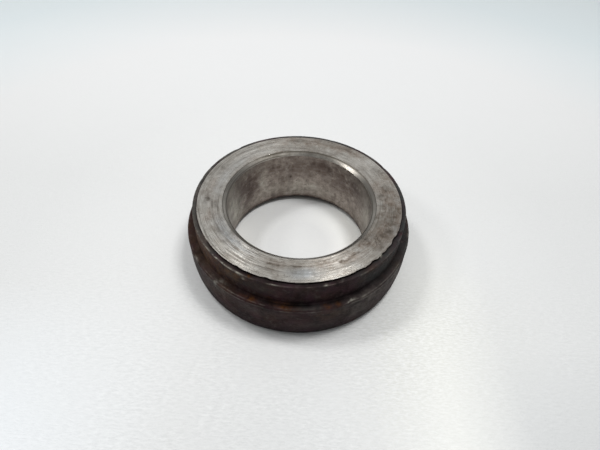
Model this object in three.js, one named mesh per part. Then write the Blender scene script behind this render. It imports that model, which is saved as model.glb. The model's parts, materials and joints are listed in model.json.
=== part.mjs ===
// Shaft collar: a solid steel ring, turned in one piece. A round spigot stands on a wider flange,
// and a plain bore runs through both. The ring stands on its flange, on the plane z = 0, and the
// bore's axis is +Z. All lengths are in millimetres.
import * as THREE from "three";

// Driving dimensions.
const BORE_RADIUS = 22.5;
const SPIGOT_RADIUS = 33;
const FLANGE_RADIUS = 35.5;
const TOTAL_HEIGHT = 22;
const SHOULDER_HEIGHT = 14.1;

// Edges of the machined top end.
const TOP_BORE_CHAMFER = { width: 1.4, depth: 1.1 };
const TOP_OUTER_CHAMFER = { width: 1.35, depth: 0.4 };

// Edges of the shoulder and of the bottom end.
const BOTTOM_BORE_CHAMFER = { width: 2, depth: 2 };
const SHOULDER_ROOT_FILLET = 0.4;
const FLANGE_TOP_FILLET = 0.7;
const FLANGE_BOTTOM_ROUNDING = { width: 1.6, height: 8.7 };

// How finely round shapes are stepped.
const SEGMENTS_AROUND = 96;
const FILLET_STEPS = 3;
const ROUNDING_STEPS = 7;

const QUARTER_TURN = Math.PI / 2;

// Points of an elliptical quarter arc in the section plane, both ends included. x is the distance
// from the bore's axis, y the height, and the angle counts from outwards (0) to upwards (a quarter).
function quarterArc(centre, radii, startAngle, endAngle, steps) {
  const points = [];
  for (let i = 0; i <= steps; i++) {
    const angle = THREE.MathUtils.lerp(startAngle, endAngle, i / steps);
    const x = centre.x + radii.x * Math.cos(angle);
    const y = centre.y + radii.y * Math.sin(angle);
    points.push(new THREE.Vector2(x, y));
  }
  return points;
}

// The flange's side, from the flat bottom face up to the flat shoulder. Its lower part curves in
// towards the bottom face, and its top edge is broken by a small fillet.
function flangeSide() {
  const rounding = FLANGE_BOTTOM_ROUNDING;
  const lower = quarterArc(
    new THREE.Vector2(FLANGE_RADIUS - rounding.width, rounding.height),
    new THREE.Vector2(rounding.width, rounding.height),
    -QUARTER_TURN,
    0,
    ROUNDING_STEPS,
  );
  const upper = quarterArc(
    new THREE.Vector2(FLANGE_RADIUS - FLANGE_TOP_FILLET, SHOULDER_HEIGHT - FLANGE_TOP_FILLET),
    new THREE.Vector2(FLANGE_TOP_FILLET, FLANGE_TOP_FILLET),
    0,
    QUARTER_TURN,
    FILLET_STEPS,
  );
  return [...lower, ...upper];
}

// The spigot's side, from the fillet at its root up to the shallow chamfer at the top face.
function spigotSide() {
  const root = quarterArc(
    new THREE.Vector2(SPIGOT_RADIUS + SHOULDER_ROOT_FILLET, SHOULDER_HEIGHT + SHOULDER_ROOT_FILLET),
    new THREE.Vector2(SHOULDER_ROOT_FILLET, SHOULDER_ROOT_FILLET),
    3 * QUARTER_TURN,
    2 * QUARTER_TURN,
    FILLET_STEPS,
  );
  return [
    ...root,
    new THREE.Vector2(SPIGOT_RADIUS, TOTAL_HEIGHT - TOP_OUTER_CHAMFER.depth),
    new THREE.Vector2(SPIGOT_RADIUS - TOP_OUTER_CHAMFER.width, TOTAL_HEIGHT),
  ];
}

// The bore, from the top face down to the bottom face, with a chamfer at each mouth.
function boreSide() {
  return [
    new THREE.Vector2(BORE_RADIUS + TOP_BORE_CHAMFER.width, TOTAL_HEIGHT),
    new THREE.Vector2(BORE_RADIUS, TOTAL_HEIGHT - TOP_BORE_CHAMFER.depth),
    new THREE.Vector2(BORE_RADIUS, BOTTOM_BORE_CHAMFER.depth),
    new THREE.Vector2(BORE_RADIUS + BOTTOM_BORE_CHAMFER.width, 0),
  ];
}

// The whole ring: the closed section turned about the bore's axis. A lathe turns about +Y, so the
// result is tipped to bring its axis to +Z.
function collarRing() {
  const section = [...flangeSide(), ...spigotSide(), ...boreSide()];
  section.push(section[0].clone());
  const geometry = new THREE.LatheGeometry(section, SEGMENTS_AROUND);
  geometry.rotateX(QUARTER_TURN);
  const steel = new THREE.MeshStandardMaterial({ color: 0x77726e, roughness: 0.45, metalness: 1 });
  const mesh = new THREE.Mesh(geometry, steel);
  mesh.name = "collar_ring";
  return mesh;
}

const shaftCollar = new THREE.Group();
shaftCollar.name = "shaft_collar";
shaftCollar.add(collarRing());

export default shaftCollar;
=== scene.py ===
"""Shaft collar: one turned steel ring. Its machined faces are bright, its bore is stained and its
outside is dark and scaled.

The ring's section is measured on the CAD node. It is swept round the axis as one closed mesh, and
its surface is then worked: turning marks, a ragged rim, scale, pits and knocks.
Angles are counted round the axis from the front (-Y) towards +X, as seen from above.
"""
import json
import math

import bpy
import numpy as np
from mathutils import Matrix, Vector


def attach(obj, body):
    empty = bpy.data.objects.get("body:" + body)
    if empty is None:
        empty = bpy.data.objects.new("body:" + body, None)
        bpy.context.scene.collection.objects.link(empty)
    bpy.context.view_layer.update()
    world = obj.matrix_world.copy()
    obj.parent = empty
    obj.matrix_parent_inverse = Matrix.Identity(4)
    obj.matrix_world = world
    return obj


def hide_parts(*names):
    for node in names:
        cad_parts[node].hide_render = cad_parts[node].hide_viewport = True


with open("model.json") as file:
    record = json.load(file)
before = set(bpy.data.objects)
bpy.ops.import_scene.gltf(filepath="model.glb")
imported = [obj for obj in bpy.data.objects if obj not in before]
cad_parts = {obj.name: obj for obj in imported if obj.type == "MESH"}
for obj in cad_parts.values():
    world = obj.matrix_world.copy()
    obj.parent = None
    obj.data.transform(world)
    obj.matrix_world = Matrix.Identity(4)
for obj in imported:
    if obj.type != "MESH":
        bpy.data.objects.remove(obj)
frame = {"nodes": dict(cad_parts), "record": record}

MM = 0.001
NODE = "collar_ring"
SEED = 11

# The mesh's fineness: steps round the axis, and the steps along each stretch of the section.
AROUND = 720
STEPS = {
    "bottom": 8,
    "rounding": 20,
    "wall": 8,
    "fillet": 5,
    "shoulder": 4,
    "root": 3,
    "spigot": 15,
    "chamfer": 5,
    "lip": 5,
    "face": 34,
    "mouth": 5,
    "bore": 20,
    "foot": 4,
}

# The lip that the facing cut left standing over the outer chamfer, and how far from the rim the
# surface beside it still follows the rim's ragged line.
LIP_STEP = 0.32 * MM
LIP_OVERHANG = 0.12 * MM
RIM_FADE = 0.9 * MM

# How far from a corner of the section the first point of a straight stretch lies.
EDGE_BREAK = 0.10 * MM

# How far the bore's upper chamfer bulges from a true cone, as a chamfer filed by hand does.
MOUTH_BULGE = 0.02 * MM

# How closely a CAD vertex lies on a plane or a cylinder to be counted as on it.
ON_SURFACE = 0.02 * MM

# The nicks in the bright face's rim: degrees, half width and depth in millimetres. Their widths are
# measured along a circle of RIM_CIRCLE millimetres in radius.
RIM_CIRCLE = 31.6
RIM_NICKS = (
    (-15, 1.0, 0.30),
    (-31, 0.7, 0.18),
    (33, 1.0, 0.22),
    (42, 1.2, 0.28),
    (49, 0.9, 0.28),
    (62, 1.6, 0.30),
)

# Knocks on the outside's edges: degrees, stretch, share of the way along it, half widths round and
# across, and depth in millimetres. The small ones are scattered all the way round.
LARGE_KNOCKS = (
    (-58, "fillet", 0.5, 1.3, 0.9, 0.30),
    (-44, "wall", 0.7, 2.0, 1.2, 0.12),
    (27, "fillet", 0.6, 1.2, 0.8, 0.25),
    (-24, "chamfer", 0.2, 1.0, 0.5, 0.20),
    (4, "chamfer", 0.1, 0.8, 0.5, 0.15),
    (150, "fillet", 0.5, 1.6, 0.9, 0.30),
    (222, "chamfer", 0.2, 1.2, 0.6, 0.22),
)
SMALL_KNOCKS = 70

# The table top, in metres.
FLOOR_RADIUS = 3.0
FLOOR_DROP = 0.01 * MM
FLOOR_SIDES = 96

# The soft lights: name, direction from the ring, side in metres and power in watts. All of them
# stand LAMP_DISTANCE metres from the ring.
LAMP_DISTANCE = 0.5
LAMPS = (
    ("right_panel", (0.27, 0.10, 0.96), 0.10, 0.56),
    ("left_panel", (-0.42, 0.15, 0.895), 0.075, 0.56),
    ("ceiling_panel", (0.26, -0.02, 0.965), 0.10, 0.62),
    ("window", (-0.67, -0.02, 0.74), 0.08, 0.31),
)

# The camera: where it stands and what it looks at in millimetres, how far it is turned about its
# own axis in degrees, its sensor and lens in millimetres, and its clipping distances in metres.
CAMERA_PLACE = (0.0, -100.5, 119.8)
CAMERA_AIM = (0.5, 9.2, 0.0)
CAMERA_ROLL = 2.58
SENSOR_WIDTH, FOCAL_LENGTH = 36.0, 27.0
NEAREST, FARTHEST = 0.01, 20.0

# The colour sockets of a mix node, which share their names with its other sockets.
MIX_FIRST, MIX_SECOND, MIX_RESULT = 6, 7, 2

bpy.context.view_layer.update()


# -------- The section, measured on the CAD node --------


def measure_ring():
    """The ring's radii and heights, in metres, read from the CAD node's vertices."""
    mesh = frame["nodes"][NODE].data
    points = np.array([v.co for v in mesh.vertices])
    radius = np.hypot(points[:, 0], points[:, 1])
    height = points[:, 2]
    top, inner, outer = height.max(), radius.min(), radius.max()
    at_top = height > top - ON_SURFACE
    at_bottom = height < ON_SURFACE
    on_bore = radius < inner + ON_SURFACE
    on_flange = radius > outer - ON_SURFACE
    mounts = {mount["name"]: mount["pos_m"] for mount in frame["record"]["mounts"]}
    shoulder = mounts["shoulder"][2]
    at_shoulder = abs(height - shoulder) < ON_SURFACE
    spigot = radius[height > (shoulder + top) / 2].max()
    on_spigot = (abs(radius - spigot) < ON_SURFACE) & (height > shoulder)
    return {
        "top": top,
        "bore": inner,
        "flange": outer,
        "spigot": spigot,
        "shoulder": shoulder,
        "face_in": radius[at_top].min(),
        "face_out": radius[at_top].max(),
        "foot_in": radius[at_bottom].min(),
        "foot_out": radius[at_bottom].max(),
        "bore_low": height[on_bore].min(),
        "bore_high": height[on_bore].max(),
        "wall_low": height[on_flange].min(),
        "wall_high": height[on_flange].max(),
        "spigot_low": height[on_spigot].min(),
        "spigot_high": height[on_spigot].max(),
        "shoulder_in": radius[at_shoulder].min(),
        "shoulder_out": radius[at_shoulder].max(),
    }


def straight(start, end, steps):
    """Points from start up to, but not including, end, closer together beside both ends."""
    length = math.dist(start, end)
    edge = min(EDGE_BREAK / length, 0.2)
    inner = [edge + (1 - 2 * edge) * i / (steps - 2) for i in range(1, steps - 1)]
    return [
        (start[0] + (end[0] - start[0]) * t, start[1] + (end[1] - start[1]) * t)
        for t in [0.0, edge, *inner]
    ]


def bulged(start, end, bulge, steps):
    """Points from start up to, but not including, end, on a shallow arch that rises sideways."""
    along = (end[0] - start[0], end[1] - start[1])
    length = math.hypot(*along)
    side = (along[1] / length, -along[0] / length)
    shares = [i / steps for i in range(steps)]
    rises = [4 * bulge * t * (1 - t) for t in shares]
    return [
        (start[0] + along[0] * t + side[0] * rise, start[1] + along[1] * t + side[1] * rise)
        for t, rise in zip(shares, rises)
    ]


def quarter(centre, radii, start, end, steps):
    """Points of an elliptical arc between two angles, the last one left out."""
    angles = [start + (end - start) * i / steps for i in range(steps)]
    return [
        (centre[0] + radii[0] * math.cos(a), centre[1] + radii[1] * math.sin(a)) for a in angles
    ]


def ring_section(size):
    """The closed outline of the ring's section, as a dict of stretches in order, each a list of
    (radius, height). It runs out along the bottom face, up the outside, in across the top face and
    down the bore."""
    right = math.pi / 2
    flange, spigot, shoulder = size["flange"], size["spigot"], size["shoulder"]
    fillet = flange - size["shoulder_out"]
    root = size["shoulder_in"] - spigot
    rounding = (flange - size["foot_out"], size["wall_low"])
    rim, top = size["face_out"], size["top"]
    under_lip = (rim - LIP_OVERHANG / 2, top - LIP_STEP)
    mouth_end = (size["bore"], size["bore_high"])
    ends = {
        "bottom": ((size["foot_in"], 0), (size["foot_out"], 0)),
        "wall": ((flange, size["wall_low"]), (flange, size["wall_high"])),
        "shoulder": ((size["shoulder_out"], shoulder), (size["shoulder_in"], shoulder)),
        "spigot": ((spigot, size["spigot_low"]), (spigot, size["spigot_high"])),
        "chamfer": ((spigot, size["spigot_high"]), under_lip),
        "face": ((rim - LIP_OVERHANG / 2, top), (size["face_in"], top)),
        "bore": (mouth_end, (size["bore"], size["bore_low"])),
        "foot": ((size["bore"], size["bore_low"]), (size["foot_in"], 0)),
    }
    arcs = {
        "rounding": ((size["foot_out"], size["wall_low"]), rounding, -right, 0),
        "fillet": ((size["shoulder_out"], size["wall_high"]), (fillet, fillet), 0, right),
        "root": ((size["shoulder_in"], size["spigot_low"]), (root, root), 3 * right, 2 * right),
    }
    lip = [
        under_lip,
        (rim - LIP_OVERHANG / 2, top - 0.6 * LIP_STEP),
        (rim + LIP_OVERHANG / 2, top - 0.4 * LIP_STEP),
        (rim + LIP_OVERHANG, top - 0.2 * LIP_STEP),
        (rim + LIP_OVERHANG / 2, top - 0.03 * LIP_STEP),
    ]
    section = {}
    for name, steps in STEPS.items():
        if name == "lip":
            section[name] = lip
        elif name == "mouth":
            section[name] = bulged((size["face_in"], top), mouth_end, MOUTH_BULGE, steps)
        elif name in arcs:
            section[name] = quarter(*arcs[name], steps)
        else:
            section[name] = straight(*ends[name], steps)
    return section


class Grid:
    """The ring's surface as a grid: one line per step round the axis and one column per point of
    the section. It holds where each column is, and draws smooth random fields over the grid."""

    def __init__(self, section):
        self.names = [name for name, points in section.items() for _ in points]
        flat = np.array([point for points in section.values() for point in points])
        self.radius, self.height = flat[:, 0], flat[:, 1]
        ahead = np.roll(flat, -1, axis=0) - flat
        self.place = np.concatenate([[0.0], np.cumsum(np.hypot(*ahead.T))[:-1]])
        across = np.roll(flat, -1, axis=0) - np.roll(flat, 1, axis=0)
        across /= np.hypot(*across.T)[:, None]
        self.out_radius, self.out_height = across[:, 1], -across[:, 0]
        self.angle = (np.arange(AROUND) * 2 * math.pi / AROUND)[:, None]

    def on(self, *names):
        """1 on the columns of these stretches, and 0 on the others."""
        return np.array([float(name in names) for name in self.names])

    def at(self, name, share):
        """The place along the section of a point of a stretch, share of the way along it."""
        columns = [i for i, n in enumerate(self.names) if n == name]
        low, high = self.place[columns[0]], self.place[columns[-1]]
        return low + (high - low) * share

    def noise(self, rng, cell, octaves=1, stretch=1.0):
        """Smooth random values from -1 to 1. Their features are about cell across, in metres, and
        stretch times as long round the axis, and each octave adds features half the size."""
        total, weight = 0.0, 0.0
        for octave in range(octaves):
            across = cell / 2**octave
            around = max(3, round(2 * math.pi * self.radius.mean() / (across * stretch)))
            along = math.ceil(self.place[-1] / across) + 2
            values = rng.uniform(-1, 1, (around, along))
            a = self.angle / (2 * math.pi) * around
            b = self.place[None, :] / across
            i, j = np.floor(a).astype(int), np.floor(b).astype(int)
            u, v = smooth(a - i), smooth(b - j)
            here, ahead = i % around, (i + 1) % around
            low = values[here, j] * (1 - u) + values[ahead, j] * u
            high = values[here, j + 1] * (1 - u) + values[ahead, j + 1] * u
            total = total + (low * (1 - v) + high * v) * 0.5**octave
            weight += 0.5**octave
        return total / weight

    def ring_noise(self, rng, cell):
        """Random values from -1 to 1 that are the same all the way round, as turning marks are."""
        values = rng.uniform(-1, 1, math.ceil(self.place[-1] / cell) + 2)
        return np.interp(self.place / cell, np.arange(len(values)), values)[None, :]

    def turn_from(self, degrees):
        """The angle from a direction to each line of the grid, from half a turn back to half a turn
        ahead."""
        return (self.angle - math.radians(degrees) + math.pi) % (2 * math.pi) - math.pi

    def spot(self, degrees, name, share, around, across):
        """A round-edged spot from 0 to 1, centred on an angle and a point of a stretch. around and
        across are its half widths in millimetres."""
        u = self.turn_from(degrees) * self.radius[None, :] / (around * MM)
        v = (self.place[None, :] - self.at(name, share)) / (across * MM)
        return np.exp(-(u**2) - v**2)

    def sector(self, degrees, half_width):
        """1 at an angle, falling smoothly to 0 at half_width degrees from it."""
        turn = abs(self.turn_from(degrees))
        return smooth(np.clip(1 - turn / math.radians(half_width), 0, 1))


def smooth(x):
    """Eases a share from 0 to 1 in and out."""
    return x * x * (3 - 2 * x)


# -------- The worked surface --------

OUTSIDE = ("rounding", "wall", "fillet", "shoulder", "root", "spigot", "chamfer")


def rim_wander(grid, rng):
    """How far the rim of the bright face strays from its circle, in metres, at each angle. It is
    raggedest at the front right, where the cut ran out on rough skin."""
    slow = grid.noise(rng, 6 * MM, 2)[:, :1]
    fine = grid.noise(rng, 1.3 * MM, 2)[:, :1]
    ragged = 0.12 + grid.sector(50, 42) + 0.35 * grid.sector(-20, 30)
    wander = 0.05 * slow + 0.24 * ragged * np.minimum(fine, 0.25)
    for degrees, around, depth in RIM_NICKS:
        across = grid.turn_from(degrees) * RIM_CIRCLE / around
        wander = wander - depth * np.exp(-(across**2))
    return wander * MM


def skin_depth(grid, rng):
    """How far the black skin lies inside the CAD surface: waves, scale and pits, in metres."""
    waves = 0.5 + 0.5 * grid.noise(rng, 9 * MM, 3, stretch=1.6)
    scale = 0.5 + 0.5 * grid.noise(rng, 1.6 * MM, 3)
    pits = np.clip(grid.noise(rng, 1.1 * MM, 2) - 0.55, 0, 1)
    forged = grid.on("rounding", "wall")
    turned = grid.on("spigot", "chamfer", "shoulder", "fillet", "root")
    rough = 0.14 * waves * forged + 0.05 * waves * turned + 0.05 * scale + 0.16 * pits
    return rough * grid.on(*OUTSIDE) * MM


def face_depth(grid, rng):
    """The turning marks on the two bright faces, and the pits that corrosion left in them."""
    marks = 0.5 + 0.5 * grid.ring_noise(rng, 0.34 * MM)
    drift = 0.75 + 0.25 * grid.noise(rng, 5 * MM, 2, stretch=4)
    pits = np.clip(grid.noise(rng, 0.9 * MM, 2) - 0.62, 0, 1)
    return (0.010 * marks * drift + 0.015 * pits) * grid.on("face", "bottom") * MM


def bore_depth(grid, rng):
    """The bore's turning marks, its worn waves and its pits."""
    marks = 0.5 + 0.5 * grid.ring_noise(rng, 0.9 * MM)
    waves = 0.5 + 0.5 * grid.noise(rng, 7 * MM, 3)
    pits = np.clip(grid.noise(rng, 1.2 * MM, 2) - 0.6, 0, 1)
    return (0.008 * marks + 0.02 * waves + 0.10 * pits) * grid.on("bore", "mouth") * MM


def knocks(grid, rng):
    """Dents on the outside's edges: a few larger ones listed, and small ones all the way round."""
    dents = spots(grid, *LARGE_KNOCKS)
    for _ in range(SMALL_KNOCKS):
        name = ("fillet", "chamfer", "wall", "rounding")[rng.integers(4)]
        around, across = rng.uniform(0.5, 1.4), rng.uniform(0.35, 0.8)
        spot = grid.spot(rng.uniform(0, 360), name, rng.uniform(0, 1), around, across)
        dents += rng.uniform(0.03, 0.12) * spot
    return dents * grid.on(*OUTSIDE) * MM


def ring_mesh(grid, rng):
    """The ring's closed mesh, with its surface worked."""
    depth = skin_depth(grid, rng) + face_depth(grid, rng)
    depth = depth + bore_depth(grid, rng) + knocks(grid, rng)
    rim = grid.radius[grid.names.index("lip")]
    inside = grid.on("face") * np.clip(1 - (rim - grid.radius) / RIM_FADE, 0, 1)
    outside = grid.on("chamfer") * np.clip(1 - (grid.radius - rim) / RIM_FADE, 0, 1)
    follow = grid.on("lip") + smooth(inside) + smooth(outside)
    radius = grid.radius - depth * grid.out_radius + rim_wander(grid, rng) * follow
    height = grid.height - depth * grid.out_height
    x, y = radius * np.sin(grid.angle), -radius * np.cos(grid.angle)
    vertices = np.stack([x, y, height], axis=-1).reshape(-1, 3)
    columns = len(grid.names)
    i, j = np.meshgrid(np.arange(AROUND), np.arange(columns), indexing="ij")
    line, next_line = i * columns, (i + 1) % AROUND * columns
    next_j = (j + 1) % columns
    corners = [line + j, next_line + j, next_line + next_j, line + next_j]
    faces = np.stack(corners, axis=-1).reshape(-1, 4)
    mesh = bpy.data.meshes.new("collar_ring_worked")
    mesh.from_pydata(vertices.tolist(), [], faces.tolist())
    mesh.shade_smooth()
    for name in ("face", "mouth", "bore"):
        sharpen(mesh, grid, name)
    return mesh


def sharpen(mesh, grid, name):
    """Keeps the edge where a stretch starts crisp, so no light glints along it."""
    border = grid.names.index(name)
    ends = np.empty(len(mesh.edges) * 2, dtype=np.int32)
    mesh.edges.foreach_get("vertices", ends)
    columns = ends.reshape(-1, 2) % len(grid.names)
    for edge in np.flatnonzero((columns == border).all(axis=1)):
        mesh.edges[edge].use_edge_sharp = True


def paint(mesh, name, values):
    """Stores a value for each point of the grid, for a material to read."""
    layer = mesh.attributes.new(name, "FLOAT", "POINT")
    layer.data.foreach_set("value", np.ascontiguousarray(values, dtype=np.float32).ravel())


def spots(grid, *rows):
    """The sum of listed spots, each given by its angle, stretch, share of the way along the
    stretch, half widths round and across in millimetres, and strength."""
    value = np.zeros((AROUND, len(grid.names)))
    for degrees, name, share, around, across, strength in rows:
        value += strength * grid.spot(degrees, name, share, around, across)
    return value


def line(grid, name, share, width):
    """1 along a line right round the ring, falling off over width in millimetres."""
    return np.exp(-(((grid.place - grid.at(name, share)) / (width * MM)) ** 2))[None, :]


def stains_and_shade(grid, rng):
    """Dark and brown stains on the bright face and in the bore, and painted shade along the
    bore's lower edge and on its foot.
    """
    value = spots(
        grid,
        (-80, "face", 0.62, 5.0, 0.35, 0.60),
        (-82, "face", 0.74, 4.0, 0.25, 0.50),
        (-90, "face", 0.42, 2.5, 0.8, 0.50),
        (-118, "face", 0.38, 3.0, 1.1, 0.45),
        (-36, "face", 0.62, 4.5, 0.25, 0.60),
        (-15, "face", 0.60, 3.0, 0.6, 0.70),
        (2, "face", 0.70, 5.0, 0.25, 0.95),
        (13, "face", 0.84, 4.0, 0.22, 1.10),
        (20, "face", 0.73, 4.0, 0.24, 1.20),
        (27, "face", 0.64, 0.7, 0.8, 2.00),
        (31, "face", 0.58, 1.6, 0.35, 1.60),
        (37, "face", 0.66, 2.0, 0.30, 1.40),
        (24, "face", 0.78, 2.2, 0.22, 1.20),
        (16, "face", 0.95, 6.0, 0.30, 0.75),
        (36, "face", 0.93, 5.0, 0.40, 0.65),
        (50, "face", 0.80, 1.2, 1.3, 0.80),
        (-26, "face", 0.66, 3.0, 0.30, 0.90),
        (-10, "face", 0.66, 4.0, 0.28, 1.00),
        (54, "face", 0.55, 2.6, 3.6, 0.55),
        (66, "face", 0.35, 4.0, 2.0, 0.65),
        (74, "face", 0.80, 2.0, 1.2, 0.55),
        (80, "face", 0.30, 4.0, 1.8, 0.60),
        (97, "face", 0.74, 0.9, 0.8, 0.90),
        (93, "face", 0.62, 0.8, 0.5, 0.80),
        (86, "face", 0.80, 1.0, 0.8, 0.70),
        (101, "face", 0.52, 0.8, 0.4, 0.60),
        (118, "face", 0.20, 2.0, 0.7, 0.45),
        (-150, "face", 0.25, 1.5, 0.7, 0.70),
        (-157, "face", 0.55, 2.0, 0.4, 0.60),
        (-166, "face", 0.72, 2.5, 0.5, 0.70),
        (147, "face", 0.24, 2.6, 0.8, 0.65),
        (163, "face", 0.10, 5.0, 0.6, 0.60),
        (188, "face", 0.35, 4.0, 1.0, 0.40),
        (125, "bore", 0.28, 2.4, 1.2, 0.60),
        (160, "bore", 0.12, 1.6, 0.9, 0.55),
        (189, "bore", 0.50, 0.45, 0.35, 1.00),
        (206, "bore", 0.24, 1.0, 0.5, 0.50),
        (232, "bore", 0.45, 3.2, 4.5, 0.60),
        (246, "bore", 0.20, 2.5, 2.5, 0.40),
    )
    cloud = np.clip(grid.noise(rng, 3 * MM, 3, stretch=1.5) * 1.8 - 0.25, 0, 1)
    value = value + 0.55 * cloud * grid.on("face", "bottom", "bore")
    # Painted shade: a dark line along the bore's lower edge, and the foot chamfer dark.
    value = value + line(grid, "bore", 1.0, 0.35) * 0.9 + grid.on("foot") * 0.8
    value = value + 0.6 * line(grid, "face", 1.0, 0.22) * grid.on("face") * (1 - grid.sector(0, 80))
    return np.clip(value, 0, 1)


def tarnish(grid, rng):
    """The broad brown film on the bright face, thickest on its right and far sides."""
    value = spots(
        grid,
        (70, "face", 0.35, 13.0, 5.5, 1.0),
        (100, "face", 0.55, 12.0, 3.0, 0.4),
        (143, "face", 0.20, 5.0, 2.0, 1.2),
        (165, "face", 0.25, 10.0, 2.4, 0.8),
        (186, "face", 0.60, 9.0, 5.0, 0.5),
        (-131, "face", 0.22, 3.5, 2.2, 0.9),
        (-160, "face", 0.20, 4.0, 1.6, 0.8),
        (-147, "face", 0.90, 3.0, 0.8, 0.7),
        (-73, "face", 0.35, 3.0, 2.4, 0.7),
        (-70, "face", 0.55, 6.0, 2.2, 0.5),
        (-101, "face", 0.42, 3.0, 2.4, 0.9),
        (-88, "face", 0.55, 2.5, 2.0, 0.6),
        (116, "face", 0.15, 5.0, 1.6, 0.6),
        (80, "face", 0.40, 8.0, 4.0, 0.5),
        (-12, "face", 0.72, 5.0, 2.0, 0.6),
        (30, "face", 0.62, 6.0, 1.4, 0.6),
        (130, "bore", 0.28, 9.0, 6.0, 1.1),
        (162, "bore", 0.20, 6.0, 3.5, 0.6),
        (190, "bore", 0.25, 8.0, 3.0, 0.4),
        (212, "bore", 0.30, 5.0, 4.0, 0.5),
        (236, "bore", 0.40, 5.0, 8.0, 1.1),
    )
    cloud = np.clip(0.12 + 0.9 * grid.noise(rng, 6 * MM, 3), 0, 1)
    return np.clip(value + 0.6 * cloud, 0, 1) * grid.on("face", "bottom", "bore", "mouth")


def turning_and_highlight(grid, rng):
    """How clearly the turning marks show on the bright faces, as a painted highlight too: most at
    the front left and front right, where the lamps' highlights fall, and least on the right,
    where the face is worn and dull."""
    value = 0.2 + 0.9 * grid.sector(-50, 75) + 0.8 * grid.sector(22, 32)
    value = value + 0.5 * grid.sector(-160, 60)
    value = value - spots(
        grid,
        (3, "face", 0.40, 6.0, 2.2, 0.9),
        (-56, "face", 0.82, 5.5, 1.8, 0.8),
        (-108, "face", 0.70, 10.0, 2.4, 0.7),
    )
    return np.clip(value + 0.35 * grid.noise(rng, 7 * MM, 2), 0, 1)


def scored(grid):
    """Where straight scratches cross the turning marks on the top face."""
    value = spots(
        grid,
        (56, "face", 0.60, 4.5, 3.6, 1.0),
        (27, "face", 0.65, 1.6, 1.6, 0.9),
        (72, "face", 0.35, 4.0, 2.6, 0.7),
        (-148, "face", 0.50, 4.0, 3.0, 0.35),
    )
    return np.clip(value, 0, 1)


def rust(grid, rng):
    """Orange rust, mostly where water stands on the shoulder."""
    value = spots(
        grid,
        (-4, "shoulder", 0.50, 2.2, 1.0, 1.4),
        (-9, "shoulder", 0.85, 1.6, 0.6, 0.6),
        (-21, "shoulder", 0.50, 1.4, 1.1, 0.9),
        (-26, "shoulder", 0.30, 1.2, 0.4, 0.4),
        (-13, "spigot", 0.06, 1.0, 0.8, 0.45),
        (14.5, "shoulder", 0.25, 1.0, 0.8, 1.3),
        (20, "shoulder", 0.30, 0.8, 0.9, 1.1),
        (-23, "chamfer", 0.45, 0.7, 0.5, 1.5),
        (-84, "wall", 0.30, 3.0, 3.5, 0.45),
    )
    cloud = np.clip(grid.noise(rng, 5 * MM, 3) * 2.0 - 0.8, 0, 1)
    behind = 1 - grid.sector(0, 110)
    value = value + 0.5 * cloud * grid.on("shoulder", "root", "fillet") * behind
    return np.clip(value, 0, 1)


def browning(grid, rng):
    """How brown the black skin is. It is brownest on the left of the spigot and of the flange."""
    value = spots(
        grid,
        (-56, "spigot", 0.50, 13.0, 5.0, 1.2),
        (-30, "spigot", 0.75, 5.0, 2.0, 0.5),
        (-84, "wall", 0.20, 6.0, 6.0, 0.9),
        (15, "wall", 0.50, 4.0, 3.0, 0.4),
        (40, "chamfer", 0.30, 4.0, 1.0, 0.5),
        (120, "spigot", 0.40, 9.0, 5.0, 0.5),
        (215, "wall", 0.50, 9.0, 5.0, 0.6),
    )
    cloud = np.clip(0.1 + 0.7 * grid.noise(rng, 6 * MM, 3), 0, 1)
    value = np.clip(value + 0.5 * cloud, 0, 1)
    return value * (1 - 0.7 * grid.on("chamfer"))


def coolness(grid, rng):
    """Where the metal turns blue-grey: on the spigot's right and its chamfer, in places below it,
    and on the face."""
    value = spots(
        grid,
        (48, "spigot", 0.50, 11.0, 6.0, 1.0),
        (62, "wall", 0.60, 7.0, 4.0, 0.5),
        (82, "wall", 0.50, 10.0, 7.0, 0.9),
        (80, "spigot", 0.60, 9.0, 6.0, 0.8),
        (-33, "spigot", 0.60, 4.0, 2.5, 0.6),
        (-46, "face", 0.70, 9.0, 2.4, 0.9),
        (-56, "face", 0.80, 5.0, 1.8, 0.9),
        (3, "face", 0.40, 5.5, 2.0, 1.2),
        (-108, "face", 0.70, 10.0, 2.2, 1.0),
        (-140, "face", 0.55, 9.0, 3.0, 0.5),
        (-17, "spigot", 0.60, 6.0, 2.5, 0.6),
        (7, "shoulder", 0.50, 5.0, 1.0, 0.7),
        (150, "spigot", 0.50, 12.0, 6.0, 0.7),
        (240, "wall", 0.50, 12.0, 6.0, 0.5),
    )
    value = value + grid.on("chamfer") * (1 - grid.sector(5, 75))
    value = value - 0.4 * grid.on("face")
    cloud = np.clip(0.9 * grid.noise(rng, 6 * MM, 3), 0, 1)
    return np.clip(value + 0.7 * cloud, 0, 1)


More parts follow.
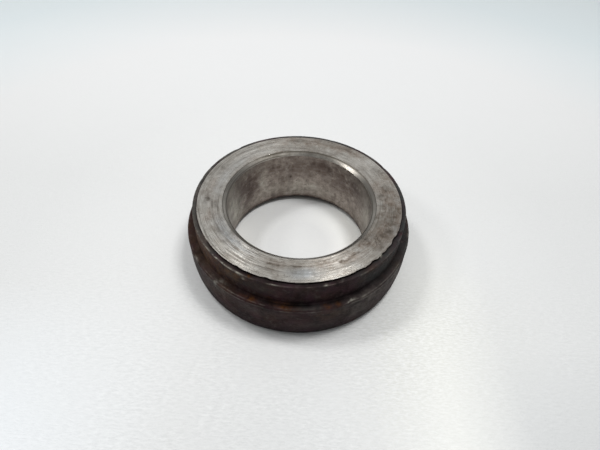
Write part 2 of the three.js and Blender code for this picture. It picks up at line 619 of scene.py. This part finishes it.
def dust_and_sheen(grid):
    """Pale patches, most on the flange's side, the top face, both chamfers and the bore. On the
    outside they are rubbed metal. On the top face, the sides of the bore's upper chamfer and the
    bore's left they are painted sheen, paler where highlights and reflections fall.
    """
    value = spots(
        grid,
        (36, "wall", 0.50, 7.0, 4.5, 0.9),
        (58, "wall", 0.40, 7.0, 4.5, 0.8),
        (30, "rounding", 0.85, 4.0, 2.0, 0.7),
        (-38, "wall", 0.80, 3.5, 2.0, 0.7),
        (-88, "chamfer", 0.40, 20.0, 1.0, 0.70),
        (-125, "chamfer", 0.40, 20.0, 1.0, 0.35),
        # Painted sheen on the top face, where highlights fall.
        (-106, "face", 0.50, 16.0, 6.0, 0.9),
        (52, "face", 0.15, 3.5, 1.6, 0.8),
        (23.5, "face", 0.60, 1.0, 0.7, 2.0),
        (29.5, "face", 0.70, 1.2, 0.4, 2.0),
        (-136, "face", 0.60, 6.0, 4.0, 0.6),
        (-150, "face", 0.30, 7.0, 4.0, 0.8),
        (-155, "face", 0.38, 3.0, 0.7, 1.0),
        (-148, "face", 0.82, 4.0, 0.5, 1.0),
        (-50, "face", 0.12, 3.0, 0.5, 1.0),
        (-36, "face", 0.30, 3.5, 0.5, 0.9),
        (128, "face", 0.55, 7.0, 6.0, 1.3),
        # Painted reflection on the bore's left.
        (254, "bore", 0.60, 6.0, 7.0, 1.0),
        (262, "bore", 0.35, 4.0, 6.0, 0.7),
        (217, "bore", 0.35, 2.0, 5.0, 0.6),
        (100, "bore", 0.40, 4.0, 7.0, 0.6),
        (180, "bore", 0.75, 14.0, 2.5, 0.45),
        (-52, "rounding", 0.90, 6.0, 2.0, 0.6),
        (-20, "wall", 0.45, 5.0, 2.0, 0.6),
        (-62, "wall", 0.50, 3.0, 3.0, 0.5),
        (8, "rounding", 0.80, 5.0, 1.6, 0.4),
        (6, "shoulder", 0.40, 5.0, 0.8, 0.5),
        (34, "shoulder", 0.40, 5.0, 0.8, 0.6),
        (-5, "wall", 0.55, 3.0, 1.2, 0.4),
        (140, "wall", 0.50, 9.0, 4.0, 0.7),
        (26, "wall", 0.55, 5.0, 3.0, 0.5),
        (-46, "wall", 0.60, 5.0, 3.0, 0.6),
        (-46, "shoulder", 0.50, 6.0, 0.8, 0.7),
        (230, "spigot", 0.50, 8.0, 4.0, 0.5),
    )
    # Painted sheen: the bore's upper chamfer paler all round but on its far side.
    value = value + grid.on("mouth") * (1 - grid.sector(178, 75))
    return np.clip(value, 0, 1)


def painted_shade(grid, rng):
    """Painted shade, soot-black: under the rim's lip, on the edges of the bore's chamfer, on the
    shoulder and in the corner above it, and low on the flange, darker towards the table."""
    patchy = np.clip(0.75 + 0.7 * grid.noise(rng, 3 * MM, 2), 0, 1)
    under_rim = 0.35 + 1.15 * grid.sector(10, 110)
    # Painted shadow under the rim's overhanging lip, on the chamfer below it and on the lip's side.
    chamfer = line(grid, "chamfer", 1.0, 0.38)
    chamfer = chamfer + 0.35 * grid.sector(-30, 40) * line(grid, "chamfer", 0.7, 0.5)
    chamfer = chamfer + 0.35 * grid.sector(0, 70) * line(grid, "chamfer", 0.38, 0.3)
    value = (chamfer * patchy * grid.on("chamfer") + grid.on("lip")) * under_rim
    # None of that painted shadow where the lip carries its painted glints.
    lip_glints = spots(grid, (-57, "lip", 0.5, 1.6, 0.6, 1.6), (48, "lip", 0.5, 0.8, 0.6, 1.6))
    value = np.clip(value - lip_glints, 0, None)
    # Painted shade on the bore's upper chamfer: dark lines along its edges, and a darker patch on
    # its far left that dims its glint.
    far = grid.sector(160, 85)
    both_edges = line(grid, "mouth", 0.0, 0.24) + 0.8 * line(grid, "mouth", 1.0, 0.24)
    mouth_edge_shade = far * line(grid, "mouth", 0.12, 0.40) + (1 - far) * both_edges
    mouth_edge_shade = mouth_edge_shade + 0.55 * grid.sector(207, 32) * patchy
    value = value + 1.1 * mouth_edge_shade * (1 - grid.sector(0, 70)) * grid.on("mouth")
    # Painted shade on the shoulder and the fillet's top at the front, and in the corner above the
    # shoulder.
    shoulder = line(grid, "shoulder", 0.8, 0.45) * grid.on("shoulder")
    value = value + 0.6 * shoulder * grid.sector(0, 34)
    value = value + 0.6 * line(grid, "fillet", 0.95, 0.30) * grid.sector(3, 24)
    corner = line(grid, "root", 0.5, 1.1) * (0.45 + 0.55 * grid.sector(22, 75))
    value = value + 0.9 * corner * grid.on("shoulder", "root", "spigot") * patchy
    # Painted shade: the flange's lower rounding darker towards the table.
    value = value + 0.6 * grid.on("rounding") * np.clip(1 - grid.height / (8 * MM), 0, 1)
    return np.clip(value, 0, 1)


def wear_and_glints(grid, rng):
    """Bare or rubbed metal on the outside's edges, and the pale scuffs beside them. Painted glints
    as well: pale bare spots on the rim's lip and on the shoulder.
    """
    value = spots(
        grid,
        # Painted glints on the shoulder and fillet at the front right.
        (27, "shoulder", 0.15, 0.85, 0.28, 1.1),
        (24.5, "fillet", 0.9, 0.5, 0.25, 0.8),
        (33, "fillet", 0.7, 1.4, 0.22, 0.25),
        (-38, "shoulder", 0.7, 1.2, 0.45, 0.5),
        (-41, "fillet", 0.4, 0.7, 0.8, 0.5),
        (-41, "wall", 0.85, 0.5, 0.9, 0.25),
        (-44, "chamfer", 0.05, 1.0, 0.22, 1.0),
        (-38, "chamfer", 0.03, 2.5, 0.16, 0.7),
        (-29, "chamfer", 0.03, 1.2, 0.18, 0.8),
        (-51, "chamfer", 0.03, 1.6, 0.14, 0.4),
        (-62, "chamfer", 0.03, 2.0, 0.15, 0.4),
        (-11, "chamfer", 0.05, 1.0, 0.14, 0.5),
        (-34, "spigot", 0.985, 2.2, 0.16, 1.2),
        (-28.5, "spigot", 0.95, 1.6, 0.14, 1.2),
        (-26, "spigot", 0.80, 0.5, 0.35, 0.7),
        (-58, "fillet", 0.5, 0.9, 0.5, 0.7),
        (14, "chamfer", 0.15, 0.5, 0.25, 0.9),
        # Painted glints on the rim's lip.
        (-57, "lip", 0.60, 1.2, 0.3, 1.4),
        (48, "lip", 0.60, 0.6, 0.3, 1.4),
    )
    patchy = np.clip(0.4 + 1.6 * grid.noise(rng, 3 * MM, 3), 0, 1)
    rims = (0.3 + 0.25 * grid.sector(-42, 40)) * line(grid, "chamfer", 0.0, 0.10)
    edges = rims + 0.4 * line(grid, "fillet", 0.0, 0.09)
    edges = edges + 0.2 * line(grid, "fillet", 1.0, 0.08)
    return np.clip(value + edges * patchy, 0, 1)


# -------- Materials --------


class Shader:
    """A material's node tree, with short calls for the nodes that this script uses."""

    def __init__(self, name, **inputs):
        self.material = bpy.data.materials.new(name)
        self.material.use_nodes = True
        self.tree = self.material.node_tree
        self.surface = self.tree.nodes["Principled BSDF"]
        for socket, value in inputs.items():
            self.surface.inputs[socket.replace("_", " ")].default_value = value
        self.position = self.add("ShaderNodeTexCoord").outputs["Object"]

    def add(self, kind, **settings):
        node = self.tree.nodes.new(kind)
        for key, value in settings.items():
            setattr(node, key, value)
        return node

    def feed(self, socket, value):
        """Links an output socket to an input socket, or sets a number or a colour on it."""
        if isinstance(value, bpy.types.NodeSocket):
            self.tree.links.new(value, socket)
        else:
            socket.default_value = value

    def math(self, operation, a, b=0.0):
        node = self.add("ShaderNodeMath", operation=operation)
        self.feed(node.inputs[0], a)
        self.feed(node.inputs[1], b)
        return node.outputs[0]

    def times(self, product, *others):
        """All the values multiplied together."""
        for value in others:
            product = self.math("MULTIPLY", product, value)
        return product

    def most(self, a, b):
        return self.math("MAXIMUM", a, b)

    def split(self):
        node = self.add("ShaderNodeSeparateXYZ")
        self.feed(node.inputs[0], self.position)
        return node.outputs

    def join(self, x, y, z):
        node = self.add("ShaderNodeCombineXYZ")
        for socket, value in zip(node.inputs, (x, y, z)):
            self.feed(socket, value)
        return node.outputs[0]

    def radius(self):
        x, y, _ = self.split()
        return self.math("SQRT", self.math("ADD", self.times(x, x), self.times(y, y)))

    def turned(self, along, radial, axial):
        """Coordinates in which noise is drawn out round the axis. along is how fast it changes
        round the ring, and radial and axial how fast it changes outwards and upwards."""
        x, y, z = self.split()
        radius = self.radius()
        level = self.math("ADD", self.times(radius, radial), self.times(z, axial))
        around = [self.times(self.math("DIVIDE", c, radius), along) for c in (x, y)]
        return self.join(*around, level)

    def noise(self, scale, detail=4.0, roughness=0.55, where=None, low=0.3, high=0.7):
        """Noise stretched so that low becomes 0 and high becomes 1."""
        node = self.add("ShaderNodeTexNoise")
        self.feed(node.inputs["Vector"], self.position if where is None else where)
        self.feed(node.inputs["Scale"], scale)
        self.feed(node.inputs["Detail"], detail)
        self.feed(node.inputs["Roughness"], roughness)
        return self.between(node.outputs[0], low, high)

    def between(self, value, low, high, to_low=0.0, to_high=1.0):
        """A value mapped from the range low to high on to the range to_low to to_high, and held
        inside it."""
        node = self.add("ShaderNodeMapRange", clamp=True)
        self.feed(node.inputs["Value"], value)
        self.feed(node.inputs["From Min"], low)
        self.feed(node.inputs["From Max"], high)
        self.feed(node.inputs["To Min"], to_low)
        self.feed(node.inputs["To Max"], to_high)
        return node.outputs["Result"]

    def scratches(self, degrees, along, fine, low, high):
        """Thin straight scratches that run at an angle from +X. along is how often they end, and
        fine how close together they lie."""
        node = self.add("ShaderNodeMapping", vector_type="TEXTURE")
        self.feed(node.inputs["Vector"], self.position)
        node.inputs["Rotation"].default_value = (0, 0, math.radians(degrees))
        node.inputs["Scale"].default_value = (1 / along, 1 / fine, 1)
        return self.noise(1.0, 2, 0.5, where=node.outputs[0], low=low, high=high)

    def painted(self, name):
        """The value that paint stored under a name."""
        return self.add("ShaderNodeAttribute", attribute_name=name).outputs["Fac"]

    def mix(self, factor, a, b):
        """A mix of two colours: a where factor is 0, and b where it is 1."""
        node = self.add("ShaderNodeMix", data_type="RGBA")
        self.feed(node.inputs["Factor"], factor)
        self.feed(node.inputs[MIX_FIRST], a)
        self.feed(node.inputs[MIX_SECOND], b)
        return node.outputs[MIX_RESULT]

    def bump(self, height, distance, normal=None):
        """Bumps of a height from 0 to 1, distance metres high, on top of any earlier ones."""
        node = self.add("ShaderNodeBump")
        self.feed(node.inputs["Height"], height)
        self.feed(node.inputs["Distance"], distance)
        if normal is not None:
            self.feed(node.inputs["Normal"], normal)
        return node.outputs["Normal"]

    def finish(self, colour, roughness, normal, metallic=None):
        """The material, with these on its surface. Metallic stays as set unless it is given."""
        sockets = {"Base Color": colour, "Roughness": roughness, "Normal": normal}
        if metallic is not None:
            sockets["Metallic"] = metallic
        for name, value in sockets.items():
            self.feed(self.surface.inputs[name], value)
        return self.material


def rgb(r, g, b):
    """An opaque colour, in linear light."""
    return (r, g, b, 1.0)


def turned_steel():
    """The bright machined faces: grey steel with fine rings, cloudy tarnish and brown stains, and
    painted highlights: bright rings and pale patches where the lamps' highlights fall.
    """
    s = Shader("turned_steel", Metallic=1.0, Anisotropic=0.74, Anisotropic_Rotation=0.25)
    kept = s.noise(1.0, 5, 0.7, where=s.turned(4, 420, 0), low=0.38, high=0.60)
    rings = s.noise(1.0, 3, 0.75, where=s.turned(0.4, 1500, 0), low=0.42, high=0.58)
    fine_rings = s.noise(1.0, 3, 0.65, where=s.turned(6, 3000, 0), low=0.36, high=0.64)
    clouds = s.noise(230, 6, 0.72, low=0.40, high=0.60)
    film = s.times(s.painted("tarnish"), s.noise(260, 6, 0.75, low=0.34, high=0.56))
    patches = s.noise(75, 4, 0.55, low=0.40, high=0.60)
    specks = s.noise(1300, 4, 0.65, low=0.57, high=0.68)
    scored = s.times(s.painted("scored"), s.scratches(98, 180, 2400, 0.57, 0.68))
    colour = s.mix(clouds, rgb(0.34, 0.312, 0.275), rgb(0.73, 0.70, 0.65))
    colour = s.mix(s.between(patches, 0, 1, 0.0, 0.45), colour, rgb(0.40, 0.36, 0.305))
    colour = s.mix(s.times(film, 0.75), colour, rgb(0.295, 0.196, 0.140))
    colour = s.mix(s.times(s.painted("cool"), 0.75), colour, rgb(0.47, 0.50, 0.525))
    flecks = s.times(s.painted("tarnish"), s.noise(520, 6, 0.75, low=0.50, high=0.62))
    colour = s.mix(s.times(flecks, 0.9), colour, rgb(0.165, 0.117, 0.080))
    # Painted highlight: bright rings and dark grooves strongest where the lamps' highlights fall.
    marked_and_lit = s.between(s.painted("turning_and_highlight"), 0, 1, 0.25, 1.0)
    grit = s.noise(850, 5, 0.72, low=0.36, high=0.64)
    colour = s.mix(s.between(grit, 0, 1, 0.32, 0.0), colour, rgb(0.20, 0.175, 0.145))
    # Painted sheen: pale patches on the face where highlights fall.
    colour = s.mix(s.times(s.painted("dust_and_sheen"), 0.4), colour, rgb(0.74, 0.71, 0.66))
    grooves = s.times(s.between(rings, 0, 1, 1.0, 0.0), s.between(kept, 0, 1, 0.15, 0.95), marked_and_lit)
    colour = s.mix(grooves, colour, rgb(0.15, 0.13, 0.105))
    glints = s.times(s.between(fine_rings, 0, 1, 0.0, 0.55), marked_and_lit)
    colour = s.mix(glints, colour, rgb(0.90, 0.87, 0.81))
    stain_and_shade = s.times(s.painted("stain_and_shade"), s.noise(620, 6, 0.72, low=0.34, high=0.58))
    colour = s.mix(stain_and_shade, colour, rgb(0.095, 0.078, 0.062))
    streaks = s.noise(1.0, 4, 0.7, where=s.turned(1.6, 950, 0), low=0.54, high=0.62)
    dark = s.most(s.times(specks, 0.45), s.times(scored, 0.75))
    dark = s.most(dark, s.times(streaks, marked_and_lit, 0.6))
    colour = s.mix(dark, colour, rgb(0.10, 0.08, 0.065))
    rough = s.math("ADD", s.between(clouds, 0, 1, 0.30, 0.22), s.between(stain_and_shade, 0, 1, 0.0, 0.15))
    normal = s.bump(rings, 0.012 * MM)
    normal = s.bump(fine_rings, 0.007 * MM, normal)
    normal = s.bump(s.noise(900, 3, 0.5), 0.003 * MM, normal)
    return s.finish(colour, rough, normal)


def bore_steel():
    """The bore: duller, warmer steel, mottled by old corrosion, with a painted reflection on
    its left and painted shade along its lower edge and on its foot.
    """
    s = Shader("bore_steel", Metallic=1.0, Anisotropic=0.3, Anisotropic_Rotation=0.25)
    rings = s.noise(1.0, 3, where=s.turned(6, 1500, 1500))
    mottle = s.noise(620, 6, 0.74, low=0.36, high=0.64)
    patches = s.noise(110, 5, 0.65, low=0.42, high=0.60)
    runs = s.noise(1.0, 4, 0.6, where=s.turned(14, 0, 120), low=0.40, high=0.64)
    specks = s.noise(1500, 3, 0.6, low=0.60, high=0.70)
    film = s.times(s.painted("tarnish"), s.noise(260, 6, 0.75, low=0.32, high=0.52))
    colour = s.mix(mottle, rgb(0.155, 0.123, 0.102), rgb(0.43, 0.373, 0.325))
    # Pale patches: rubbed metal in places, and a painted reflection on the bore's left.
    rubbed_and_reflection = s.times(s.painted("dust_and_sheen"), s.noise(300, 5, 0.6, low=0.30, high=0.55))
    colour = s.mix(s.times(rubbed_and_reflection, 0.85), colour, rgb(0.64, 0.63, 0.54))
    covered = s.between(s.painted("dust_and_sheen"), 0, 1, 0.65, 0.25)
    colour = s.mix(s.times(patches, covered), colour, rgb(0.15, 0.115, 0.095))
    colour = s.mix(s.between(runs, 0, 1, 0.0, 0.16), colour, rgb(0.50, 0.46, 0.42))
    colour = s.mix(s.times(film, 0.9), colour, rgb(0.085, 0.056, 0.045))
    colour = s.mix(s.between(rings, 0, 1, 0.0, 0.15), colour, rgb(0.52, 0.49, 0.46))
    # Stains, and the painted shade along the bore's lower edge and on its foot.
    stain_and_shade = s.times(s.painted("stain_and_shade"), s.noise(700, 5, 0.7, low=0.30, high=0.52))
    stain_and_shade = s.most(stain_and_shade, s.times(specks, 0.5))
    colour = s.mix(stain_and_shade, colour, rgb(0.05, 0.032, 0.028))
    rough = s.between(mottle, 0, 1, 0.46, 0.34)
    normal = s.bump(rings, 0.008 * MM)
    normal = s.bump(mottle, 0.02 * MM, normal)
    return s.finish(colour, rough, normal)


def mouth_steel():
    """The bore's upper chamfer: cut smoother than the face beside it, so it takes a sharp glint.
    Painted sheen pales its sides, and painted shade darkens its edges.
    """
    s = Shader("mouth_steel", Metallic=1.0, Anisotropic=0.3, Anisotropic_Rotation=0.25)
    rings = s.noise(1.0, 3, where=s.turned(7, 3500, 3500))
    clouds = s.noise(400, 6, 0.7, low=0.38, high=0.62)
    colour = s.mix(clouds, rgb(0.12, 0.108, 0.092), rgb(0.27, 0.253, 0.225))
    colour = s.mix(s.between(rings, 0, 1, 0.0, 0.3), colour, rgb(0.44, 0.42, 0.385))
    # Painted sheen: paler on the chamfer's sides.
    colour = s.mix(s.times(s.painted("dust_and_sheen"), 0.6), colour, rgb(0.37, 0.345, 0.31))
    # Painted shade along the chamfer's edges, rougher where it lies.
    mouth_shade = s.painted("painted_shade")
    colour = s.mix(mouth_shade, colour, rgb(0.070, 0.062, 0.050))
    return s.finish(colour, s.between(mouth_shade, 0, 1, 0.27, 0.55), s.bump(rings, 0.006 * MM))


def black_scale():
    """The outside: dark oxide skin, brown in places, with orange rust and bare worn edges, and
    painted glints and painted shade.
    """
    s = Shader("black_scale", Specular_IOR_Level=0.06)
    blotches = s.noise(260, 6, 0.72, low=0.38, high=0.62)
    grain = s.noise(1100, 5, 0.7, low=0.35, high=0.65)
    scuffs = s.noise(420, 5, 0.7, low=0.54, high=0.66)
    brown = s.times(s.painted("brown"), s.noise(330, 6, 0.7, low=0.34, high=0.60))
    cool = s.times(s.painted("cool"), s.noise(150, 5, 0.6, low=0.34, high=0.58))
    purple = s.noise(200, 4, 0.6, low=0.50, high=0.66)
    faded = s.noise(95, 5, 0.65, low=0.48, high=0.66)
    colour = s.mix(blotches, rgb(0.0040, 0.0010, 0.0015), rgb(0.032, 0.0135, 0.0165))
    colour = s.mix(s.times(purple, 0.7), colour, rgb(0.037, 0.0135, 0.0235))
    colour = s.mix(s.times(faded, 0.35), colour, rgb(0.060, 0.038, 0.041))
    colour = s.mix(cool, colour, rgb(0.027, 0.032, 0.0315))
    colour = s.mix(brown, colour, rgb(0.105, 0.057, 0.029))
    colour = s.mix(s.times(grain, 0.16), colour, rgb(0.080, 0.047, 0.044))
    smears = s.noise(1.0, 4, 0.65, where=s.turned(24, 0, 70), low=0.50, high=0.66)
    colour = s.mix(s.times(smears, 0.12), colour, rgb(0.078, 0.058, 0.060))
    dusty = s.times(s.painted("dust_and_sheen"), s.between(blotches, 0, 1, 0.1, 0.7))
    dusty = s.most(s.times(scuffs, 0.3), dusty)
    colour = s.mix(dusty, colour, rgb(0.116, 0.106, 0.093))
    rusty = s.times(s.painted("rust"), s.noise(800, 5, 0.75, low=0.38, high=0.56))
    orange = s.mix(grain, rgb(0.045, 0.014, 0.005), rgb(0.140, 0.056, 0.013))
    colour = s.mix(rusty, colour, orange)
    # Bare worn metal, and painted glints on the rim's lip and the shoulder.
    bare_and_glint = s.times(s.painted("wear_and_glints"), s.noise(900, 4, 0.7, low=0.36, high=0.54))
    colour = s.mix(bare_and_glint, colour, rgb(0.40, 0.38, 0.325))
    # Painted shade: near-black under the rim, on the shoulder, in the corner above it and low on
    # the flange.
    skin_shade = s.painted("painted_shade")
    colour = s.mix(skin_shade, colour, rgb(0.0022, 0.0015, 0.0015))
    rough = s.math("ADD", s.between(grain, 0, 1, 0.50, 0.68), s.times(rusty, 0.2))
    rough = s.most(rough, skin_shade)
    normal = s.bump(grain, 0.07 * MM)
    normal = s.bump(blotches, 0.12 * MM, normal)
    return s.finish(colour, rough, normal, metallic=s.times(bare_and_glint, 0.5))


def floor_material():
    """A pale, slightly glossy table top with a fine drawn-out ripple. Broad soft masks shade it
    round the ring and inside the bore, and it fades to plain far away."""
    s = Shader("pale_table", Specular_IOR_Level=0.5)
    wide = s.add("ShaderNodeMapping")
    s.feed(wide.inputs["Vector"], s.position)
    wide.inputs["Rotation"].default_value = (0, 0, math.radians(5))
    wide.inputs["Scale"].default_value = (0.30, 1.0, 1.0)
    drawn_out = wide.outputs[0]
    x, y, _ = s.split()
    radius = s.radius()

    def along(value, low, high, at_low=0.0, at_high=1.0):
        """Goes from at_low to at_high between two distances in millimetres."""
        return s.between(value, low * MM, high * MM, at_low, at_high)

    # The ripple shows most in front, and glitters close to the ring's front right.
    ripple = s.noise(1700, 3, 0.7, where=drawn_out, low=0.33, high=0.67)
    clear = s.times(along(y, -70, 0, 1.0, 0.10), s.noise(60, 2, 0.5, low=0.20, high=0.55))
    glitter = s.times(along(x, 10, 28), along(y, -30, -5, 1.0, 0.0))
    glitter = s.times(glitter, along(radius, 55, 85, 1.0, 0.0))
    clear = s.most(clear, glitter)
    tone = s.math("ADD", 0.5, s.times(s.math("SUBTRACT", ripple, 0.5), clear))
    colour = s.mix(tone, rgb(0.665, 0.665, 0.655), rgb(0.915, 0.915, 0.905))

    # Painted shade and light: darker in front and away from the ring, lighter behind it, and
    # cooler in the distance.
    shade = rgb(0.60, 0.61, 0.61)
    colour = s.mix(along(y, -80, 120, 0.32, 0.0), colour, shade)
    colour = s.mix(along(radius, 32, 95, 0.0, 0.36), colour, shade)
    colour = s.mix(along(y, 30, 150, 0.0, 0.8), colour, rgb(0.87, 0.87, 0.87))
    colour = s.mix(along(radius, 160, 240, 0.0, 0.55), colour, rgb(0.66, 0.77, 0.80))

    # Painted shade at the middle and right of the front, a painted warm sheen between, and a
    # pale cool painted sheen on the left.
    middle = s.times(along(x, -45, -5, 0.0, 0.45), along(x, 5, 25, 1.0, 0.2))
    right = s.times(along(x, 40, 66), along(x, 110, 190, 1.0, 0.0))
    ahead = along(y, -170, -90)
    front = s.times(along(y, -80, -35, 1.0, 0.0), s.math("ADD", middle, right), ahead)
    colour = s.mix(front, colour, shade)
    sheen = s.times(along(x, 22, 40, 0.0, 0.4), along(x, 44, 62, 1.0, 0.0))
    sheen = s.times(sheen, ahead, along(y, -15, 15, 1.0, 0.0))
    colour = s.mix(sheen, colour, rgb(0.97, 0.97, 0.91))
    left = s.times(along(x, -75, -30, 0.5, 0.0), along(y, -75, -20, 1.0, 0.0))
    colour = s.mix(left, colour, rgb(0.88, 0.93, 0.98))

    # Paler inside the bore, where the light falls through it.
    inside = s.times(along(radius, 10, 21), along(radius, 24, 23))
    depth = s.math("SUBTRACT", y, s.times(s.most(x, 0), 0.6))
    inside = s.times(inside, along(depth, 2, 14, 1.0, 0.15), along(x, -16, -4, 0.75, 1.0))
    colour = s.mix(inside, colour, rgb(1.0, 1.0, 0.955))

    # Dark gaps in the glittering ripple, and the plain distance.
    gaps = s.noise(2400, 2, 0.6, where=drawn_out, low=0.60, high=0.42)
    colour = s.mix(s.times(gaps, glitter, 0.40), colour, rgb(0.62, 0.62, 0.56))
    colour = s.mix(along(radius, 300, 480), colour, rgb(0.78, 0.785, 0.78))
    return s.finish(colour, 0.42, s.bump(ripple, 0.05 * MM))


# -------- The piece, the stage, the light and the camera --------


def make_ring():
    """The collar's one piece, in place of its CAD node."""
    grid = Grid(ring_section(measure_ring()))
    rng = np.random.default_rng(SEED)
    mesh = ring_mesh(grid, rng)
    layers = {
        "stain_and_shade": stains_and_shade(grid, rng),
        "tarnish": tarnish(grid, rng),
        "turning_and_highlight": turning_and_highlight(grid, rng),
        "scored": scored(grid),
        "brown": browning(grid, rng),
        "cool": coolness(grid, rng),
        "dust_and_sheen": dust_and_sheen(grid),
        "painted_shade": painted_shade(grid, rng),
        "rust": rust(grid, rng),
        "wear_and_glints": wear_and_glints(grid, rng),
    }
    for name, values in layers.items():
        paint(mesh, name, values)
    zones = (
        (turned_steel(), ("face", "bottom")),
        (mouth_steel(), ("mouth",)),
        (bore_steel(), ("bore", "foot")),
        (black_scale(), (*OUTSIDE, "lip")),
    )
    column_zone = np.zeros(len(grid.names), dtype=np.int32)
    for index, (material, names) in enumerate(zones):
        mesh.materials.append(material)
        column_zone[grid.on(*names) > 0] = index
    mesh.polygons.foreach_set("material_index", np.tile(column_zone, AROUND))
    ring = bpy.data.objects.new("collar_ring_body", mesh)
    bpy.context.scene.collection.objects.link(ring)
    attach(ring, "root")
    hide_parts(NODE)


def make_floor():
    """A wide round table top that the ring stands on."""
    mesh = bpy.data.meshes.new("table_top")
    turns = [2 * math.pi / FLOOR_SIDES * i for i in range(FLOOR_SIDES)]
    rim = [(FLOOR_RADIUS * math.cos(t), FLOOR_RADIUS * math.sin(t), -FLOOR_DROP) for t in turns]
    mesh.from_pydata(rim, [], [tuple(range(FLOOR_SIDES))])
    mesh.materials.append(floor_material())
    floor = bpy.data.objects.new("table_top", mesh)
    bpy.context.scene.collection.objects.link(floor)


def make_area(name, direction, size, power):
    """A square soft light, in a direction from the ring and facing it."""
    data = bpy.data.lights.new(name, "AREA")
    data.shape = "SQUARE"
    data.size = size
    data.energy = power
    lamp = bpy.data.objects.new(name, data)
    towards = Vector(direction).normalized()
    lamp.location = towards * LAMP_DISTANCE
    lamp.rotation_euler = towards.to_track_quat("Z", "Y").to_euler()
    bpy.context.scene.collection.objects.link(lamp)


def make_world():
    """A pale room: a bright ceiling, a bright wall behind the ring, light walls at both sides, and
    a light band all round the horizon."""
    world = bpy.data.worlds.new("pale_room")
    world.use_nodes = True
    tree = world.node_tree
    coordinate = tree.nodes.new("ShaderNodeTexCoord")
    split = tree.nodes.new("ShaderNodeSeparateXYZ")
    tree.links.new(coordinate.outputs["Generated"], split.inputs[0])

    def ramp(axis, *limits):
        """Light that changes along an axis: its two ends, then the strength at each."""
        node = tree.nodes.new("ShaderNodeMapRange")
        for socket, value in zip(("From Min", "From Max", "To Min", "To Max"), limits):
            node.inputs[socket].default_value = value
        tree.links.new(split.outputs[axis], node.inputs["Value"])
        return node.outputs["Result"]

    def total(a, b):
        node = tree.nodes.new("ShaderNodeMath")
        tree.links.new(a, node.inputs[0])
        tree.links.new(b, node.inputs[1])
        return node.outputs[0]

    ceiling = ramp("Z", 0.50, 0.96, 0.10, 0.58)
    behind = ramp("Y", 0.40, 0.80, 0.0, 0.45)
    left, right = ramp("X", -1.0, -0.5, 0.12, 0.0), ramp("X", 0.5, 1.0, 0.0, 0.12)
    horizon = ramp("Z", 0.03, 0.30, 0.50, 0.0)
    background = tree.nodes["Background"]
    background.inputs["Color"].default_value = rgb(0.97, 0.99, 1.0)
    strength = total(total(total(ceiling, behind), total(left, right)), horizon)
    tree.links.new(strength, background.inputs["Strength"])
    bpy.context.scene.world = world


def make_lights():
    """The room, the soft lights in it and plain display colours."""
    make_world()
    for lamp in LAMPS:
        make_area(*lamp)
    bpy.context.scene.view_settings.view_transform = "Standard"


def make_camera():
    """A close wide camera, above the front, turned a little about its own axis."""
    data = bpy.data.cameras.new("camera")
    data.sensor_width, data.lens = SENSOR_WIDTH, FOCAL_LENGTH
    data.clip_start, data.clip_end = NEAREST, FARTHEST
    place = Vector(CAMERA_PLACE) * MM
    aim = Vector(CAMERA_AIM) * MM
    roll = math.radians(CAMERA_ROLL)
    back = (place - aim).normalized()
    right = Vector((0, 0, 1)).cross(back).normalized()
    up = back.cross(right)
    turned_right = right * math.cos(roll) + up * math.sin(roll)
    turned_up = up * math.cos(roll) - right * math.sin(roll)
    axes = Matrix((turned_right, turned_up, back)).transposed().to_4x4()
    camera = bpy.data.objects.new("camera", data)
    camera.matrix_world = Matrix.Translation(place) @ axes
    bpy.context.scene.collection.objects.link(camera)
    bpy.context.scene.camera = camera


make_camera()
make_ring()
make_floor()
make_lights()
